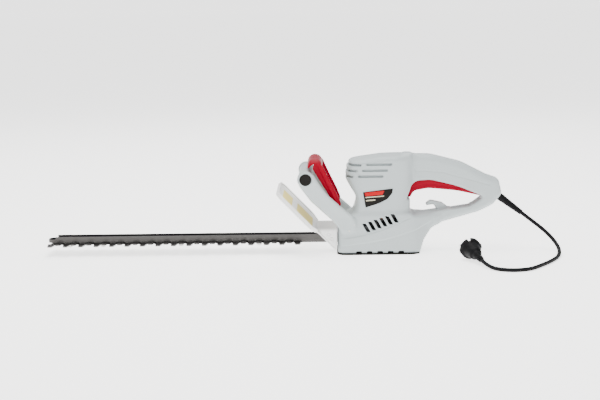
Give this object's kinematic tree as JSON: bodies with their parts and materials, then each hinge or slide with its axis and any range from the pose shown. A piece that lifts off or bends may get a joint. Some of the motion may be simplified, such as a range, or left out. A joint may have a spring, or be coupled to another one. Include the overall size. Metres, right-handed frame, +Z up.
{
  "type": "hedge trimmer",
  "caption": "Corded electric hedge trimmer: long double-sided reciprocating toothed blade, sloped hand guard, splayed front handle with red switch bar, upright motor head, closed rear handle.",
  "frame": {"origin": "centre line of the flat base the machine stands on, in the plane of its underside, about midway along the gear case", "axes": "+X from the blade to the rear handle, +Z up out of the base; the side nearest the viewer in the picture is -Y"},
  "size_m": [0.8907, 0.2726, 0.17],
  "materials": {
    "body": "fine-textured cool light grey nylon moulding",
    "guard_white": "near-white moulding, whiter than the body",
    "trigger_red": "deep red, soft gloss",
    "lever_red": "bright red, satin gloss",
    "dark_plastic": "black moulded parts",
    "cord_black": "soft black cord sheath",
    "label": "pale yellow plain labels",
    "blade_steel": "dark hardened steel with ground edges",
    "rail_metal": "grey pressed channel",
    "zinc_steel": "bright zinc-plated screws and washers",
    "machine_steel": "ground and hobbed steel",
    "case_aluminium": "die-cast, unpainted",
    "lamination": "varnished steel laminations",
    "copper": "enamelled copper wire and commutator bars",
    "carbon": "carbon brush",
    "bronze": "sintered bronze",
    "rubber": "black rubber",
    "fan_plastic": "dark glass-filled nylon",
    "pin_nickel": "nickel-plated plug pins"
  },
  "bodies": {
    "machine": {"air_baffle": "fan_plastic", "arm_screws": "zinc_steel", "axle_washers": "zinc_steel", "base_plate": "dark_plastic", "base_screws": "zinc_steel", "bearing_balls": "machine_steel", "bearing_cushion": "rubber", "bearing_outer_races": "machine_steel", "brush_carrier": "dark_plastic", "brush_holders": "bronze", "carbon_brushes": "carbon", "cord_clamp": "dark_plastic", "cord_relief": "cord_black", "field_coils": "copper", "front_grip_tube": "body", "front_switch": "dark_plastic", "gear_axle": "machine_steel", "gear_case": "case_aluminium", "gear_cover": "rail_metal", "grip_end_caps": "dark_plastic", "guard_labels": "label", "guard_screws": "zinc_steel", "guide_rail": "rail_metal", "hand_guard": "guard_white", "housing_screws": "zinc_steel", "left_handle_arm": "body", "left_housing": "body", "mains_lead": "cord_black", "plug_body": "cord_black", "plug_pins": "pin_nickel", "power_cord": "cord_black", "rail_bolts": "zinc_steel", "rail_bushes": "machine_steel", "rail_nuts": "zinc_steel", "rail_washers": "zinc_steel", "right_handle_arm": "body", "right_housing": "body", "side_badges": "dark_plastic", "stator_core": "lamination", "switch_bar_pins": "machine_steel", "switch_bar_spring": "zinc_steel", "terminal_block": "dark_plastic", "tongue_screws": "zinc_steel", "trigger_pin": "machine_steel", "trigger_spring": "zinc_steel", "trigger_switch": "dark_plastic"},
    "rotor": {"rotor_shaft": "machine_steel", "rotor_core": "lamination", "rotor_windings": "copper", "commutator": "copper", "cooling_fan": "fan_plastic", "motor_pinion": "machine_steel", "bearing_inner_races": "machine_steel"},
    "gear": {"drive_gear": "machine_steel", "drive_cams": "machine_steel", "gear_bush": "bronze"},
    "upper_blade": {"upper_blade": "blade_steel"},
    "lower_blade": {"lower_blade": "blade_steel"},
    "trigger": {"trigger": "trigger_red"},
    "switch_bar": {"switch_bar": "lever_red"}
  },
  "joints": [
    {"name": "rotor_spin", "type": "hinge", "parent": "machine", "child": "rotor", "pos_m": [0.006, 0, 0.08], "axis": [0, 0, 1], "continuous": true},
    {"name": "gear_spin", "type": "hinge", "parent": "machine", "child": "gear", "pos_m": [-0.0285, 0, 0.027], "axis": [0, 0, 1], "continuous": true},
    {"name": "upper_blade_slide", "type": "slide", "parent": "machine", "child": "upper_blade", "axis": [1, 0, 0], "range_m": [-0.004, 0.004]},
    {"name": "lower_blade_slide", "type": "slide", "parent": "machine", "child": "lower_blade", "axis": [1, 0, 0], "range_m": [-0.004, 0.004]},
    {"name": "trigger_press", "type": "hinge", "parent": "machine", "child": "trigger", "pos_m": [0.187, 0, 0.1025], "axis": [0, 1, 0], "range_deg": [0, 3], "stiffness_Nm_per_rad": 3, "springref_deg": -5.73, "deforming": ["trigger_spring"]},
    {"name": "switch_bar_press", "type": "hinge", "parent": "machine", "child": "switch_bar", "pos_m": [-0.068, 0, 0.084], "axis": [0, -1, 0], "range_deg": [0, 5], "stiffness_Nm_per_rad": 2, "springref_deg": -5.73}
  ],
  "couplings": [
    {"joint": "rotor_spin", "follows": "gear_spin", "ratio": -6.6667},
    {"joint": "lower_blade_slide", "follows": "upper_blade_slide", "ratio": -1}
  ]
}
